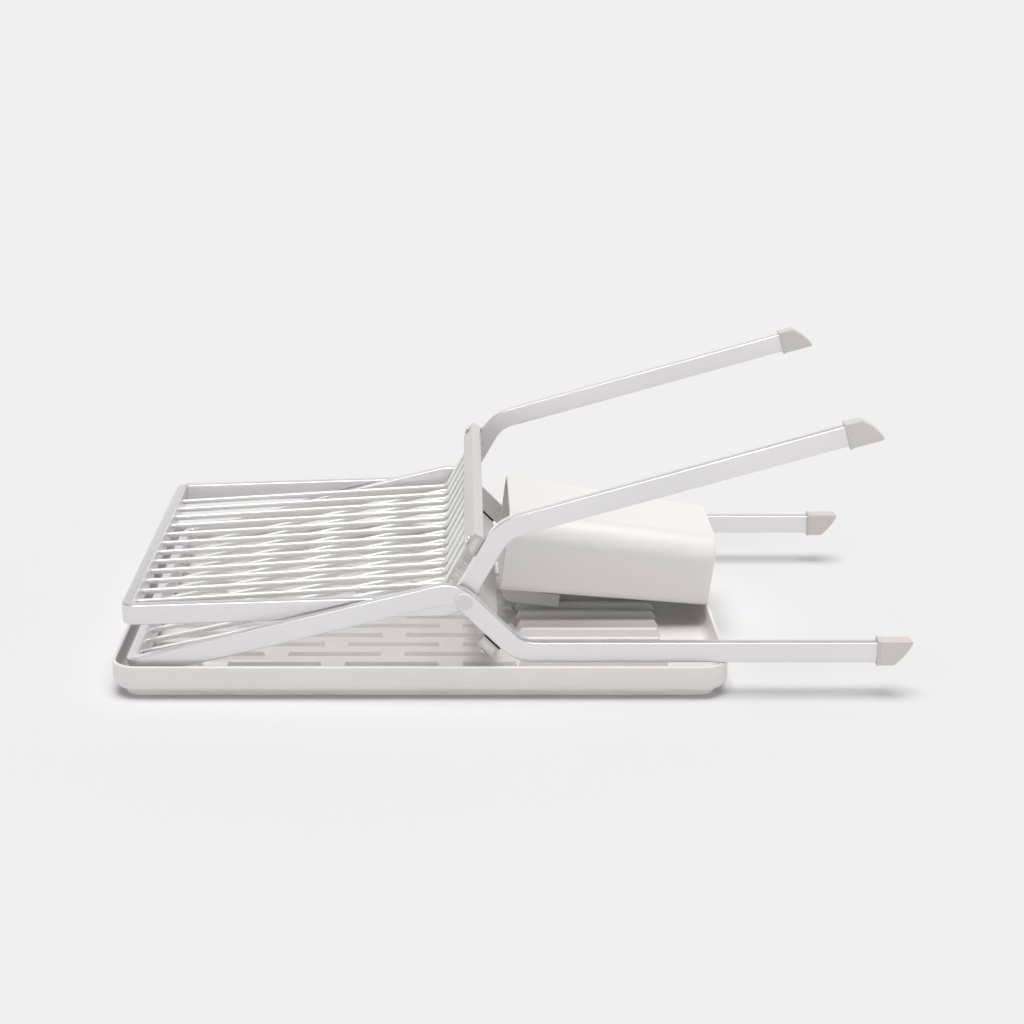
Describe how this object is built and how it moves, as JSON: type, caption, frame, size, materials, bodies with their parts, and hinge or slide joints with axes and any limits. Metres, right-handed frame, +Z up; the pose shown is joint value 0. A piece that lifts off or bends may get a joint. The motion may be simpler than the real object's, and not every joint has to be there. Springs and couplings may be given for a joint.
{
  "type": "bottle drying rack",
  "caption": "Folding bottle drying rack: two hinged wire and bar frames lying nearly closed on a shallow ribbed drip tray, with a tapered utensil cup between the legs.",
  "frame": {"origin": "on the resting surface, under the middle of the folded rack's box", "axes": "+X towards the feet, +Y to the back, +Z up"},
  "size_m": [0.5304, 0.3286, 0.1863],
  "materials": {
    "bars": "satin anodised",
    "crossbars": "satin",
    "plugs": "matte",
    "pads": "matte",
    "wires": "satin",
    "feet": "matte",
    "hardware": "brushed",
    "tray": "fine matte grain",
    "ring": "matte",
    "cup": "satin"
  },
  "bodies": {
    "tray": {"drip_tray": "tray", "tray_base_ring": "ring"},
    "pivot": {"pivot_cap_back": "feet", "pivot_cap_front": "feet", "pivot_pin_back": "hardware", "pivot_pin_front": "hardware", "pivot_spacer_back": "feet", "pivot_spacer_front": "feet"},
    "frame_lower": {"lower_crossbar": "crossbars", "lower_crossbar_pads": "pads", "lower_crossbar_plugs": "plugs", "lower_crossbar_screws": "hardware", "lower_foot_back": "feet", "lower_foot_front": "feet", "lower_frame_bar": "bars", "lower_wire_01": "wires", "lower_wire_02": "wires", "lower_wire_03": "wires", "lower_wire_04": "wires", "lower_wire_05": "wires", "lower_wire_06": "wires", "lower_wire_07": "wires", "lower_wire_08": "wires", "lower_wire_09": "wires", "lower_wire_10": "wires", "lower_wire_11": "wires", "lower_wire_12": "wires"},
    "frame_upper": {"upper_crossbar": "crossbars", "upper_crossbar_pads": "pads", "upper_crossbar_plugs": "plugs", "upper_crossbar_screws": "hardware", "upper_foot_back": "feet", "upper_foot_front": "feet", "upper_frame_bar": "bars", "upper_wire_01": "wires", "upper_wire_02": "wires", "upper_wire_03": "wires", "upper_wire_04": "wires", "upper_wire_05": "wires", "upper_wire_06": "wires", "upper_wire_07": "wires", "upper_wire_08": "wires", "upper_wire_09": "wires", "upper_wire_10": "wires", "upper_wire_11": "wires", "upper_wire_12": "wires"},
    "cup": {"utensil_cup": "cup"}
  },
  "joints": [
    {"name": "rack_lift", "type": "slide", "parent": "tray", "child": "pivot", "axis": [0, 0, 1], "range_m": [0, 0.4145]},
    {"name": "upper_unfold", "type": "hinge", "parent": "pivot", "child": "frame_upper", "pos_m": [-0.03179, 0, 0.06675], "axis": [0, 1, 0], "range_deg": [0, 150.2]},
    {"name": "lower_unfold", "type": "hinge", "parent": "pivot", "child": "frame_lower", "pos_m": [-0.03179, 0, 0.06675], "axis": [0, 1, 0], "range_deg": [0, 45.71]},
    {"name": "cup_lift", "type": "slide", "parent": "tray", "child": "cup", "axis": [0, 0, 1], "range_m": [0, 0.055]}
  ],
  "couplings": [
    {"joint": "lower_unfold", "follows": "upper_unfold", "ratio": 0.30426},
    {"joint": "rack_lift", "follows": "upper_unfold", "m_per_rad": 0.158}
  ]
}
